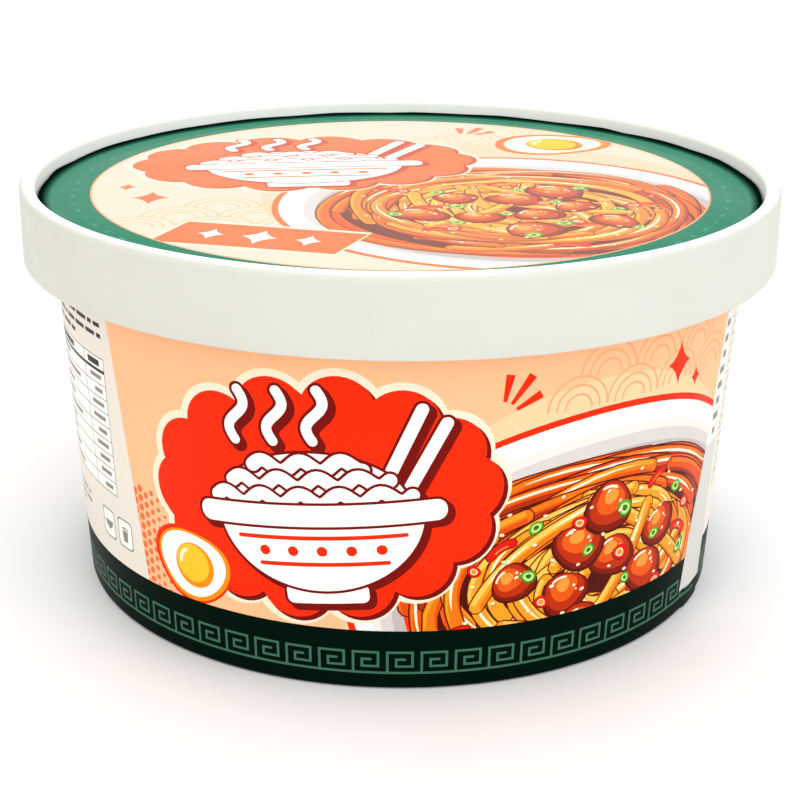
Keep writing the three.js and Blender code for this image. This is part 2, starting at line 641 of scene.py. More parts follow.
def key_unit(ink="teal", line=0.5):
    """One square hook of a key pattern, 5.2 mm wide and 4.4 mm tall, on its base line."""
    runs = [
        ((0.0, 0.0), (6.4, 0.0)),
        ((0.0, 0.0), (0.0, 4.4)),
        ((0.0, 4.4), (4.8, 4.4)),
        ((4.8, 4.4), (4.8, 1.4)),
        ((1.7, 1.4), (4.8, 1.4)),
        ((1.7, 1.4), (1.7, 2.9)),
        ((1.7, 2.9), (3.3, 2.9)),
    ]
    fields = []
    for (start_x, start_y), (end_x, end_y) in runs:
        width = abs(end_x - start_x) + line
        height = abs(end_y - start_y) + line
        fields.append((bar((start_x + end_x) / 2, (start_y + end_y) / 2, width, height), ink))
    return fields


# Printed information, in plain bars and signs

def word_bars(rng, width, lines, pitch, height, ink="grey"):
    """Lines of bars of uneven length, from the top left corner; the last line is shorter."""
    fields = []
    for line in range(lines):
        x = 0.0
        limit = width if line < lines - 1 else width * 0.6
        while x < limit - 1.5:
            length = min(rng.uniform(1.5, 6.0), limit - x)
            fields.append((bar(x + length / 2, -pitch * line, length, height), ink))
            x += length + 0.8
    return fields


def food_table(rng, width, rows, pitch):
    """Ruled table with a heading, short names on the left and figures on the right."""
    height = pitch * (rows + 1)
    fields = [(bar(width / 2, -height / 2, width, height), "grey")]
    fields.append((bar(width / 2, -height / 2, width - 0.5, height - 0.5), "white"))
    fields.append((bar(width / 2, -pitch, width, 0.7), "black"))
    fields.append((bar(width * 0.72, -height / 2, 0.25, height), "grey"))
    fields.append((bar(width * 0.3, -pitch * 0.5, width * 0.44, 1.3), "black"))
    fields.append((bar(width * 0.86, -pitch * 0.5, width * 0.16, 1.3), "black"))
    for row in range(1, rows + 1):
        y = -pitch * (row + 0.5)
        length = width * rng.uniform(0.22, 0.56)
        figure = width * rng.uniform(0.08, 0.17)
        fields.append((bar(width * 0.05 + length / 2, y, length, 0.9), "grey"))
        fields.append((bar(width * 0.95 - figure / 2, y, figure, 0.9), "grey"))
        if row < rows:
            fields.append((bar(width / 2, -pitch * (row + 1), width, 0.22), "grey"))
    return fields


def bar_code(rng, width, height):
    """White field with upright lines of a few widths."""
    fields = [(bar(width / 2, 0, width + 4, height + 3, 0.8), "white")]
    x = 0.0
    while x < width - 1:
        line = rng.choice((0.3, 0.3, 0.6, 0.9))
        fields.append((bar(x + line / 2, 0, line, height), "black"))
        x += line + rng.choice((0.35, 0.35, 0.7))
    return fields


def boxed_sign(sign, side, ink="grey"):
    """A small framed pictogram."""
    frame_edge = bar(0, 0, side, side * 1.15, 1.0)
    fields = [(frame_edge, ink)] + placed([(frame_edge, "white")], 0, 0, 0, 0.89)
    return fields + placed(sign, 0, 0, 0, side / 64)


def waste_bin(ink="grey"):
    """Plain sign of a bin with a lid, about 40 mm tall."""
    body = [Vector((-12, 8)), Vector((-9, -20)), Vector((9, -20)), Vector((12, 8))]
    return [(body, ink), (bar(0, 12.5, 30, 3.6, 1.5), ink), (bar(0, 16.5, 9, 3, 1.2), ink)]


def plain_bowl(ink="red"):
    """Plain sign of an empty bowl, about 44 mm wide."""
    return [
        (arc(0, 4, 19, 17, math.pi, math.pi, 20), ink),
        (bar(0, -13, 16, 3, 1.2), ink),
        (bar(0, 4.4, 44, 3.6, 1.6), ink),
    ]


def water_drops(ink="red"):
    """Plain sign of drops over a bowl."""
    fields = placed(plain_bowl(ink), 0, -5)
    for x, y in ((-8, 8), (0, 14), (8, 8)):
        drop = arc(x, y, 2.8, 2.8, math.radians(150), math.radians(240), 12) + [Vector((x, y + 7))]
        fields.append((drop, ink))
    return fields


def clock(ink="red"):
    """Plain sign of a clock face with two hands."""
    fields = edged(circle(0, 0, 16, 36), 1.3, ink, "white")
    for tip in (Vector((0, 11)), Vector((7, -4))):
        fields.append((ribbon([Vector((0, 0)), tip], 2.6), ink))
    return fields


def round_step(sign, radius):
    """A making step: a pictogram in a red ring."""
    return edged(circle(0, 0, radius, 40), 0.35, "red", "white") + placed(sign, 0, 0, 0, radius / 32)


# Layout of the wall print

BAND_TOP = 12.6
PANEL_LEFT = (-55.0, -61.8)
PANEL_RIGHT = (70.9, 77.9)
SEAM_STRIP_LOW = 5.0
SEAM_STRIP_MIDDLE = 36.0
KEY_UNITS = 66
KEY_LINE_HEIGHT = 3.6


def slanted(edge, height):
    """Place along the strip of a panel's side, which leans outwards towards the rim."""
    low, high = edge
    return low + (high - low) * (height - BAND_TOP) / (SKIRT_BOTTOM - BAND_TOP)


def between(left_edge, right_edge, bottom, top):
    """Panel between two leaning sides."""
    return [
        Vector((slanted(left_edge, bottom), bottom)),
        Vector((slanted(right_edge, bottom), bottom)),
        Vector((slanted(right_edge, top), top)),
        Vector((slanted(left_edge, top), top)),
    ]


def shifted(edge, shift):
    return tuple(place + shift for place in edge)


def picture_panel(rng):
    """Peach panel with the badge and the egg on the left, and the noodle plate on the right."""
    fields = [(between(PANEL_LEFT, PANEL_RIGHT, 0, WALL_TOP + 1), "peach")]
    # Printed circle behind the plate, made paler as painted light where the wall's right side is lit
    fields.append((circle(40, 10, 50, 90), "light_peach"))
    fields += placed(cloud_scallops(4, 3, 6.2, "blush"), 33, 55)
    fields += placed(dot_fade(9, 11, 2.0, "coral"), -57, 11.5)
    fields += placed(noodle_plate(rng, 50, 33), 41, 20)
    fields += placed(red_badge(), -15, 38.9, 0.1, 0.93)
    fields += placed(fried_egg(rng), -42, 20.5, 0.2, 0.8)
    fields += placed(sparkle(4.6), 58, 58.5)
    fields += placed(sparkle(2.2), 64.5, 54)
    fields += placed(burst_ticks(), 18, 55, -1.1)
    return fields


def left_information(rng):
    """Ruled table, lines of bars and framed signs on the panel to the left of the picture."""
    fields = placed(word_bars(rng, 32, 4, 2.2, 0.9, "black"), -96, 65.5)
    fields += placed(food_table(rng, 32, 9, 2.9), -96, 56.5)
    fields += placed(boxed_sign(waste_bin(), 5.6), -62.5, 20)
    fields += placed(boxed_sign(plain_bowl("grey"), 5.6), -69.5, 20)
    fields += placed(word_bars(rng, 16, 3, 2.0, 0.8), -96, 22.5)
    fields += placed(word_bars(rng, 34, 20, 2.2, 0.8), -137, 63)
    return fields


def right_information(rng):
    """Framed column, making steps and bar code on the panel to the right of the picture."""
    fields = []
    column = STRIP_START + 6.5
    for step in range(7):
        height = 62 - 6 * step
        fields += edged(bar(column, height, 4.0, 4.2, 0.6), 0.3, "grey", "panel")
        fields.append((bar(column, height, 2.2, 0.6), "grey"))
    for step, sign in enumerate((plain_bowl(), water_drops(), clock(), bowl_sign("red", "white"))):
        x = STRIP_START + 24 + 13.5 * step
        fields += placed(round_step(sign, 6), x, 55)
        fields += placed(word_bars(rng, 11, 4, 1.9, 0.8), x - 5.5, 45.5)
    fields += placed(bar_code(rng, 27, 15), STRIP_START + 20, 24)
    fields += placed(word_bars(rng, 24, 8, 2.2, 0.8), STRIP_START + 53, 32)
    return fields


def seam_marks(rng):
    """Small grey print marks in a column on the bare strip beside the seam."""
    fields = []
    for step in range(9):
        height = 64 - 3.2 * step
        middle = (slanted(PANEL_RIGHT, height) + SEAM_PLACE) / 2
        fields.append((bar(middle, height, rng.uniform(1.6, 3.2), 1.5), "grey"))
    return fields


def green_band():
    """Dark band above the foot, with a key pattern all round."""
    middle = (STRIP_START + SEAM_PLACE) / 2
    fields = [(bar(middle, BAND_TOP / 2, 2 * HALF_TURN, BAND_TOP), "green")]
    pitch = 2 * HALF_TURN / KEY_UNITS
    for unit in range(KEY_UNITS - 1):
        fields += placed(key_unit(), STRIP_START + pitch * (unit + 0.5), KEY_LINE_HEIGHT)
    return fields


def wall_print():
    """The whole strip: the picture in front and at the back, a panel at each side, the band and the seam."""
    rng = random.Random(WALL_SEED)
    back_right = shifted(PANEL_RIGHT, -HALF_TURN)
    back_left = shifted(PANEL_LEFT, -HALF_TURN)
    strip_start = (STRIP_START, STRIP_START)
    strip_end = (SEAM_PLACE, SEAM_PLACE)
    picture = picture_panel(rng)
    fields = picture + placed(picture, -HALF_TURN, 0)
    fields.append((between(back_right, PANEL_LEFT, 0, WALL_TOP + 1), "panel"))
    fields.append((between(strip_start, back_left, 0, WALL_TOP + 1), "panel"))
    fields += left_information(rng)
    fields += right_information(rng)
    fields += green_band()
    fields.append((between(PANEL_RIGHT, strip_end, SEAM_STRIP_LOW, WALL_TOP + 1), "strip_grey"))
    fields.append((between(PANEL_RIGHT, strip_end, SEAM_STRIP_MIDDLE, WALL_TOP + 1), "strip_white"))
    fields += seam_marks(rng)
    return fields


# Layout of the lid print

LID_CIRCLE = 63.6
LID_FLAT = DISC_RADIUS - DISC_THICKNESS - FOLD_ROUND
RING_LINE = 0.4
BORDER_MARKS = 72
BORDER_MARK_RADIUS = 67.0


def ring_sectors(inner, outer, ink, count=4):
    """A flat ring in a few sectors, since a field has one outline and no hole."""
    fields = []
    for start in turns(count):
        sweep = FULL_TURN / count
        outline = arc(0, 0, outer, outer, start, sweep, 40)
        outline += arc(0, 0, inner, inner, start + sweep, -sweep, 40)
        fields.append((outline, ink))
    return fields


def lid_print():
    """Cream circle with the picture, in a green border that darkens towards the edge as painted shade."""
    rng = random.Random(LID_SEED)
    fields = [(circle(0, 0, LID_CIRCLE + 0.5, 160), "lid_cream")]
    fields += placed([(circle(0, 0, 48, 90), "pale_peach")], 20, -12)
    fields += placed(cloud_scallops(4, 3, 7.5, "peach"), -50, -36)
    fields += placed(cloud_scallops(4, 3, 7.5, "peach"), 8, 36)
    fields += placed(noodle_plate(rng, 46, 42), 22, -20)
    fields += placed(red_badge(), -21, 18, 0.1, 1.0)
    fields += placed(fried_egg(rng), 34, 38, 0.3, 1.1)
    fields += placed(red_tag(), -26, -43, -0.25)
    fields += placed(sparkle(5.0), -50, -14)
    fields += placed(sparkle(2.6), -56, -5)
    fields += placed(burst_ticks(), 14, 45, -0.9, 1.2)
    fields += ring_sectors(LID_CIRCLE, LID_FLAT + 2, "lid_green")
    # Rings of darker green towards the edge: painted shade
    for edge_step in range(1, EDGE_STEPS):
        inner = LID_FLAT - (EDGE_STEPS - edge_step) * EDGE_STEP_WIDTH
        fields += ring_sectors(inner, LID_FLAT + 2, f"edge_green_{edge_step}")
    fields += ring_sectors(LID_CIRCLE - RING_LINE, LID_CIRCLE, "blush")
    for step, turn in enumerate(turns(BORDER_MARKS)):
        x = BORDER_MARK_RADIUS * math.cos(turn)
        y = BORDER_MARK_RADIUS * math.sin(turn)
        mark = circle(0, 0, 0.6, 10) if step % 2 else bar(0, 0, 0.8, 2.6, 0.35)
        fields += placed([(mark, "mint")], x, y, turn)
    return fields


# Cutting the flat print into one sheet of triangles

def within(outline, spots):
    """Which spots lie within an outline, by how often it winds about them."""
    starts = np.array(outline)
    ends = np.roll(starts, -1, axis=0)
    x, y = spots[:, :1], spots[:, 1:]
    run = ends - starts
    side = run[:, 0] * (y - starts[:, 1]) - run[:, 1] * (x - starts[:, 0])
    rising = (starts[:, 1] <= y) & (ends[:, 1] > y) & (side > 0)
    falling = (starts[:, 1] > y) & (ends[:, 1] <= y) & (side < 0)
    return rising.sum(axis=1) != falling.sum(axis=1)


def finely_cut(outline):
    """The same outline with no side longer than a grid step, so that it bends with the wall."""
    points = []
    for start, end in zip(outline, outline[1:] + outline[:1]):
        parts = math.ceil((end - start).length / GRID_STEP)
        points += [start.lerp(end, part / parts) for part in range(parts)]
    return points


def loop_edges(first, count):
    """Edges of a closed outline whose points are numbered from a first one."""
    return [(first + step, first + (step + 1) % count) for step in range(count)]


def triangulated(points, edges):
    """Triangles between points that keep to given edges, and the middle of each."""
    flat, _, triangles, *_ = delaunay_2d_cdt(points, edges, [], 0, CUT_TOLERANCE, False)
    triangles = np.array(triangles)
    middles = np.array([tuple(point) for point in flat])[triangles].mean(axis=1)
    return flat, triangles, middles


def stacked(layers):
    """Every layer's filled outline, each one step above the last, and the layer of each triangle."""
    points = []
    faces = []
    owners = []
    for number, (outline, ink) in enumerate(layers):
        flat, triangles, middles = triangulated(outline, loop_edges(0, len(outline)))
        first = len(points)
        points += [(point.x, point.y, number) for point in flat]
        covered = triangles[within(outline, middles)] + first
        faces += covered.tolist()
        owners += [number] * len(covered)
    return BVHTree.FromPolygons(points, faces), owners


def top_layers(middles, layers, stack, owners):
    """Number of the layer that shows at each spot, seen from above; -1 outside the sheet."""
    above = len(layers) + 1
    down = Vector((0, 0, -1))
    shown = np.full(len(middles), -1)
    for number, (x, y) in enumerate(middles):
        hit = stack.ray_cast(Vector((x, y, above)), down)[2]
        if hit is not None:
            shown[number] = owners[hit]
    shown[~within(layers[0][0], middles)] = -1
    return shown


def ink_edges(triangles, inks):
    """Edges of triangles where two inks meet or the sheet ends."""
    sides = np.concatenate([triangles[:, [0, 1]], triangles[:, [1, 2]], triangles[:, [2, 0]]])
    sides = np.sort(sides, axis=1)
    keys = sides[:, 0] * (triangles.max() + 1) + sides[:, 1]
    _, places, groups, counts = np.unique(keys, return_index=True, return_inverse=True, return_counts=True)
    lowest = np.full(len(places), inks.max())
    highest = np.full(len(places), -1)
    np.minimum.at(lowest, groups, np.tile(inks, 3))
    np.maximum.at(highest, groups, np.tile(inks, 3))
    meeting = (lowest != highest) | ((counts == 1) & (lowest >= 0))
    return sides[places[meeting]]


def press(fields, sheet, ground, spots):
    """Cut fields that lie over each other into one sheet of triangles, each with the ink that shows.

    The first cut is along every outline; the second keeps only the edges between inks.
    """
    layers = [(sheet, ground)] + fields
    names = list(dict.fromkeys(ink for outline, ink in layers))
    layer_inks = np.array([names.index(ink) for outline, ink in layers] + [-1])
    stack, owners = stacked(layers)
    points = []
    edges = []
    for outline, ink in layers:
        cut_outline = finely_cut(outline)
        edges += loop_edges(len(points), len(cut_outline))
        points += cut_outline
    flat, triangles, middles = triangulated(points, edges)
    kept = ink_edges(triangles, layer_inks[top_layers(middles, layers, stack, owners)])

    corners_kept, edges = np.unique(kept, return_inverse=True)
    points = [flat[corner] for corner in corners_kept]
    flat, triangles, middles = triangulated(points + spots, edges.reshape(-1, 2).tolist())
    inks = layer_inks[top_layers(middles, layers, stack, owners)]
    return flat, [(triangle.tolist(), names[ink]) for triangle, ink in zip(triangles, inks) if ink >= 0]


def sheet_border(triangles):
    """Corners on the border of a cut sheet, where an edge has only one triangle."""
    uses = Counter()
    for corners, ink in triangles:
        uses.update(frozenset(edge) for edge in zip(corners, corners[1:] + corners[:1]))
    return {corner for edge, count in uses.items() if count == 1 for corner in edge}


class Draft:
    """Points, faces and inks of a piece while it is put together."""

    def __init__(self):
        self.points = []
        self.normals = []
        self.faces = []
        self.inks = []

    def add_sheet(self, flat, triangles, place, facing):
        """Lay a flat print on its surface, and return the new number of each of its points."""
        numbers = {}
        for triangle, ink in triangles:
            for corner in triangle:
                if corner not in numbers:
                    numbers[corner] = len(self.points)
                    self.points.append(place(flat[corner]))
                    self.normals.append(facing(flat[corner]))
            self.faces.append([numbers[corner] for corner in triangle])
            self.inks.append(ink)
        return numbers

    def add_ring(self, points):
        """Add points that get their normals from the faces, and return their numbers."""
        first = len(self.points)
        self.points += points
        self.normals += [Vector((0, 0, 0))] * len(points)
        return list(range(first, len(self.points)))

    def join_rings(self, upper, lower, ink):
        """Faces between two rings of as many points."""
        for index in range(len(upper)):
            after = (index + 1) % len(upper)
            self.faces.append([upper[index], lower[index], lower[after], upper[after]])
            self.inks.append(ink)

    def close(self, ring, point, downwards, ink):
        """Close a ring by a fan about a point."""
        middle = self.add_ring([point])[0]
        for index in range(len(ring)):
            after = (index + 1) % len(ring)
            face = [ring[index], middle, ring[after]]
            self.faces.append(face if downwards else face[::-1])
            self.inks.append(ink)

    def zip_chains(self, left, right, heights, ink):
        """Close the slit between two upright rows of points."""
        left_step = 0
        right_step = 0
        while left_step < len(left) - 1 or right_step < len(right) - 1:
            left_next = left[min(left_step + 1, len(left) - 1)]
            right_next = right[min(right_step + 1, len(right) - 1)]
            left_is_next = right_step == len(right) - 1 or heights[left_next] <= heights[right_next]
            if left_is_next and left_step < len(left) - 1:
                self.faces.append([left[left_step], right[right_step], left_next])
                left_step += 1
            else:
                self.faces.append([left[left_step], right[right_step], right_next])
                right_step += 1
            self.inks.append(ink)

    def finish(self, name, printed_faces, ink_materials):
        """Make the piece; its printed faces keep the smooth normals of the surface they lie on."""
        mesh = bpy.data.meshes.new(name)
        mesh.from_pydata([point * MM for point in self.points], [], self.faces)
        names = list(dict.fromkeys(self.inks))
        for ink in names:
            mesh.materials.append(ink_materials[ink])
        slots = {ink: index for index, ink in enumerate(names)}
        mesh.polygons.foreach_set("material_index", [slots[ink] for ink in self.inks])
        mesh.shade_smooth()
        mesh.set_sharp_from_angle(angle=math.radians(35))
        plain = Vector((0, 0, 0))
        loop_normals = []
        for number, face in enumerate(self.faces):
            loop_normals += [self.normals[corner] if number < printed_faces else plain for corner in face]
        mesh.normals_split_custom_set(loop_normals)
        piece = bpy.data.objects.new(name, mesh)
        bpy.context.scene.collection.objects.link(piece)
        return piece


def round_about(turn, radius, height):
    """Point on the bowl; the turn is counted from the front towards the right."""
    return Vector((radius * math.sin(turn), -radius * math.cos(turn), height))


def profile_arc(radius, height, reach, start, end, steps):
    """Points of a round corner in the profile plane; angles in degrees from outwards towards up."""
    points = []
    for step in range(steps + 1):
        turn = math.radians(start + (end - start) * step / steps)
        points.append((radius + reach * math.cos(turn), height + reach * math.sin(turn)))
    return points


# The bowl

def wall_radius(height):
    return BASE_RADIUS + WALL_SLOPE * height


def seam_rise(place):
    """The wall's last stretch lies over its first one and stands proud by the paper's thickness."""
    part = (place - (SEAM_PLACE - SEAM_OVERLAP)) / SEAM_RAMP
    part = min(max(part, 0), 1)
    return SEAM_STEP * part * part * (3 - 2 * part)


def on_wall(spot):
    """Point of the wall for a spot of the flat strip."""
    return round_about(spot.x / PRINT_RADIUS, wall_radius(spot.y) + seam_rise(spot.x), spot.y)


def wall_facing(spot):
    return round_about(spot.x / PRINT_RADIUS, 1, -WALL_SLOPE).normalized()


def wall_grid():
    """Spots that let the strip bend round the bowl."""
    columns = round(2 * HALF_TURN / GRID_STEP)
    rows = round((WALL_TOP - HEEL_ROUND) / GRID_STEP)
    places = [STRIP_START + 2 * HALF_TURN * column / columns for column in range(columns + 1)]
    heights = [HEEL_ROUND + (WALL_TOP - HEEL_ROUND) * row / rows for row in range(rows + 1)]
    return [Vector((place, height)) for place in places for height in heights]


def make_bowl():
    low = HEEL_ROUND
    middle = (STRIP_START + SEAM_PLACE) / 2
    sheet = bar(middle, (low + WALL_TOP) / 2, 2 * HALF_TURN, WALL_TOP - low)
    flat, triangles = press(wall_print(), sheet, "panel", wall_grid())
    draft = Draft()
    numbers = draft.add_sheet(flat, triangles, on_wall, wall_facing)
    printed_faces = len(draft.faces)

    def edge(axis, value):
        """Corners on one side of the strip, in their order along it."""
        spots = [corner for corner in numbers if abs(flat[corner][axis] - value) < CUT_TOLERANCE * 10]
        return sorted(spots, key=lambda corner: flat[corner][1 - axis])

    seam_over = [numbers[corner] for corner in edge(0, SEAM_PLACE)]
    seam_under = [numbers[corner] for corner in edge(0, STRIP_START)]
    heights = [point.z for point in draft.points]
    draft.zip_chains(seam_over, seam_under, heights, "bare_paper")

    def sweep(start_height, runs, downwards, end_height):
        """Carry the wall's edge on along profiles, and close the last ring."""
        border = edge(1, start_height)
        places = [flat[corner].x for corner in border]
        ring = [numbers[corner] for corner in border]
        for profile, ink in runs:
            for radius, height, proud in profile:
                following = draft.add_ring([
                    round_about(place / PRINT_RADIUS, radius + proud * seam_rise(place), height)
                    for place in places
                ])
                if downwards:
                    draft.join_rings(ring, following, ink)
                else:
                    draft.join_rings(following, ring, ink)
                ring = following
        draft.close(ring, Vector((0, 0, end_height)), downwards, ink)

    foot_inner = BASE_RADIUS - FOOT_WIDTH
    heel = profile_arc(wall_radius(low) - HEEL_ROUND, HEEL_ROUND, HEEL_ROUND, 345, 270, 5)
    foot = profile_arc(foot_inner + FOOT_INNER_ROUND, FOOT_INNER_ROUND, FOOT_INNER_ROUND, 270, 180, 4)
    base = profile_arc(foot_inner - RECESS_ROUND, FOOT_RECESS - RECESS_ROUND, RECESS_ROUND, 0, 90, 4)
    heel = [(radius, height, 1) for radius, height in heel]
    underside = [(radius, height, 0) for radius, height in foot + base]
    underside += [(foot_inner - 6, FOOT_RECESS - 0.3, 0), (foot_inner * 0.5, FOOT_RECESS, 0)]
    sweep(low, [(heel, "green"), (underside, "bare_paper")], True, FOOT_RECESS)
    roll = profile_arc(ROLL_MIDDLE, BOWL_TOP - ROLL_RADIUS, ROLL_RADIUS, 250, 450, 14)
    rim = [(radius, height, 0.3) for radius, height in roll]
    sweep(WALL_TOP, [(rim, "bare_paper")], False, BOWL_TOP)
    return draft.finish("bowl_paper", printed_faces, WALL_INKS)


# The lid disc

def dome(spot):
    """Height of the lid's face, which is slightly arched, with a shallow gutter along its border."""
    arch = 1 - (spot.length / LID_FLAT) ** 2
    part = max(spot.length - LID_CIRCLE, 0) / (LID_FLAT - LID_CIRCLE)
    return DISC_TOP + DOME_RISE * arch - BORDER_DIP * math.sin(math.pi * part * part)


def on_lid(spot):
    return Vector((spot.x, spot.y, dome(spot)))


def lid_facing(spot):
    """Normal of the lid's face, from its slopes at a spot."""
    step = 0.5
    slope_x = (dome(spot + Vector((step, 0))) - dome(spot - Vector((step, 0)))) / (2 * step)
    slope_y = (dome(spot + Vector((0, step))) - dome(spot - Vector((0, step)))) / (2 * step)
    return Vector((-slope_x, -slope_y, 1)).normalized()


def pleat_corners():
    """Angles of the folds in the turned-up edge, and how far each is gathered inwards and down."""
    rng = random.Random(PLEAT_SEED)
    angles = [(fold + rng.uniform(-0.3, 0.3)) * FULL_TURN / PLEATS for fold in range(PLEATS)]
    gathers = [rng.uniform(0.5, 1) if fold % 2 else rng.uniform(0, 0.4) for fold in range(PLEATS)]
    return angles, gathers


def lid_grid():
    """Spots that let the face bend: a square grid in the middle and rings in the border."""
    steps = round(2 * LID_FLAT / LID_GRID_STEP)
    spots = []
    for column in range(steps):
        for row in range(steps):
            spot = Vector((column + 0.5 - steps / 2, row + 0.5 - steps / 2)) * LID_GRID_STEP
            if spot.length < LID_CIRCLE:
                spots.append(spot)
    for step in range(1, int((LID_FLAT - LID_CIRCLE) / BORDER_STEP)):
        spots += circle(0, 0, LID_CIRCLE + BORDER_STEP * step, LID_SIDES // 2)
    return spots


def make_lid_disc():
    flat, triangles = press(lid_print(), circle(0, 0, LID_FLAT, LID_SIDES), "lid_green", lid_grid())
    draft = Draft()
    numbers = draft.add_sheet(flat, triangles, on_lid, lid_facing)
    printed_faces = len(draft.faces)
    rim = sorted(sheet_border(triangles), key=lambda corner: math.atan2(flat[corner].y, flat[corner].x))
    angles = [math.atan2(flat[corner].y, flat[corner].x) for corner in rim]
    ring = [numbers[corner] for corner in rim]
    fold = profile_arc(LID_FLAT, DISC_TOP + FOLD_ROUND, FOLD_ROUND, 290, 360, 4)
    lip = profile_arc(DISC_RADIUS - LIP_ROUND, EDGE_TOP - LIP_ROUND, LIP_ROUND, 180, 0, 6)
    profile = [(radius, height, 0.3) for radius, height in fold]
    profile += [(radius, height, 1.0) for radius, height in lip]
    profile.append((DISC_RADIUS, DISC_BOTTOM + DISC_CHAMFER, 0.0))
    profile.append((DISC_RADIUS - DISC_CHAMFER, DISC_BOTTOM, 0.0))
    gathers = np.interp(angles, *pleat_corners(), period=FULL_TURN)
    # The turned-up edge takes the near-black green, a painted shade over the lid's green print
    for radius, height, share in profile:
        following = draft.add_ring([
            Vector((math.cos(turn), math.sin(turn), 0)) * (radius - share * gather * PLEAT_DEPTH)
            + Vector((0, 0, height - share * gather * PLEAT_DROP * max(height - DISC_TOP, 0)))
            for turn, gather in zip(angles, gathers)
        ])
        draft.join_rings(ring, following, "lid_edge_shade")
        ring = following
    draft.close(ring, Vector((0, 0, DISC_BOTTOM)), True, "bare_paper")
    return draft.finish("lid_disc_paper", printed_faces, LID_INKS)


# Geometry Nodes

# Radius of the circle along which the lid ring's profile is turned
PATH_RADIUS = 50.0


def new_tree(name, inputs):
    """A tree with a geometry input and output, and named inputs for its sizes."""
    tree = bpy.data.node_groups.new(name, "GeometryNodeTree")
    tree.interface.new_socket("Geometry", in_out="INPUT", socket_type="NodeSocketGeometry")
    for label, kind in inputs:
        tree.interface.new_socket(label, in_out="INPUT", socket_type=kind)
    tree.interface.new_socket("Geometry", in_out="OUTPUT", socket_type="NodeSocketGeometry")
    return tree, tree.nodes.new("NodeGroupInput"), tree.nodes.new("NodeGroupOutput")


def add_node(tree, kind, links=(), **settings):
    """A node with its inputs linked to sockets or set to values, by name or number."""
    node = tree.nodes.new(kind)
    for setting, value in settings.items():
        setattr(node, setting, value)
    for key, source in links:
        if isinstance(source, bpy.types.NodeSocket):
            tree.links.new(source, node.inputs[key])
        else:
            node.inputs[key].default_value = source
    return node


def finish_tree(tree, shape, material_source, group_output):
    """Realize Instances and Set Material close every tree."""
    real = add_node(tree, "GeometryNodeRealizeInstances", [("Geometry", shape)])
    coated = add_node(tree, "GeometryNodeSetMaterial", [
        ("Geometry", real.outputs[0]), ("Material", material_source),
    ])
    tree.links.new(coated.outputs[0], group_output.inputs[0])


def grown(name, start_mesh, tree, values):
    """Run a tree on a start mesh and keep the result as a plain mesh."""
    piece = bpy.data.objects.new(name, start_mesh)
    bpy.context.scene.collection.objects.link(piece)
    modifier = piece.modifiers.new("grow", "NODES")
    modifier.node_group = tree
    for item in tree.interface.items_tree:
        if item.in_out == "INPUT" and item.name in values:
            modifier[item.identifier] = values[item.name]
    evaluated = piece.evaluated_get(bpy.context.evaluated_depsgraph_get())
    mesh = bpy.data.meshes.new_from_object(evaluated)
    piece.modifiers.remove(modifier)
    piece.data = mesh
    mesh.name = name
    mesh.materials.clear()
    mesh.materials.append(values["Paper"])
    return piece


def lid_ring_tree():
    """Turns a flat profile about the upright axis and makes it slightly uneven, as paper is."""
    tree, start, end = new_tree("turned_lid_ring", [
        ("Turn Steps", "NodeSocketInt"),
        ("Unevenness", "NodeSocketFloat"),
        ("Unevenness Scale", "NodeSocketFloat"),
        ("Seed", "NodeSocketFloat"),
        ("Paper", "NodeSocketMaterial"),
    ])
    profile = add_node(tree, "GeometryNodeMeshToCurve", [("Mesh", start.outputs["Geometry"])])
    path = add_node(tree, "GeometryNodeCurvePrimitiveCircle", [
        ("Resolution", start.outputs["Turn Steps"]), ("Radius", PATH_RADIUS * MM),
    ])
    upright = add_node(tree, "GeometryNodeSetCurveNormal", [("Curve", path.outputs[0])], mode="Z_UP")
    turned = add_node(tree, "GeometryNodeCurveToMesh", [
        ("Curve", upright.outputs[0]), ("Profile Curve", profile.outputs[0]),
    ])
    place = add_node(tree, "GeometryNodeInputPosition")
    noise = add_node(tree, "ShaderNodeTexNoise", [
        ("Vector", place.outputs[0]), ("W", start.outputs["Seed"]),
        ("Scale", start.outputs["Unevenness Scale"]), ("Detail", 2.0),
    ], noise_dimensions="4D")
    centred = add_node(tree, "ShaderNodeMath", [(0, noise.outputs[0]), (1, 0.5)], operation="SUBTRACT")
    reach = add_node(tree, "ShaderNodeMath", [
        (0, centred.outputs[0]), (1, start.outputs["Unevenness"]),
    ], operation="MULTIPLY")
    level = add_node(tree, "ShaderNodeVectorMath", [
        (0, place.outputs[0]), (1, (1, 1, 0)),
    ], operation="MULTIPLY")
    outwards = add_node(tree, "ShaderNodeVectorMath", [(0, level.outputs[0])], operation="NORMALIZE")
    offset = add_node(tree, "ShaderNodeVectorMath", [
        (0, outwards.outputs[0]), ("Scale", reach.outputs[0]),
    ], operation="SCALE")
    moved = add_node(tree, "GeometryNodeSetPosition", [
        ("Geometry", turned.outputs[0]), ("Offset", offset.outputs[0]),
    ])
    finish_tree(tree, moved.outputs[0], start.outputs["Paper"], end)
    return tree


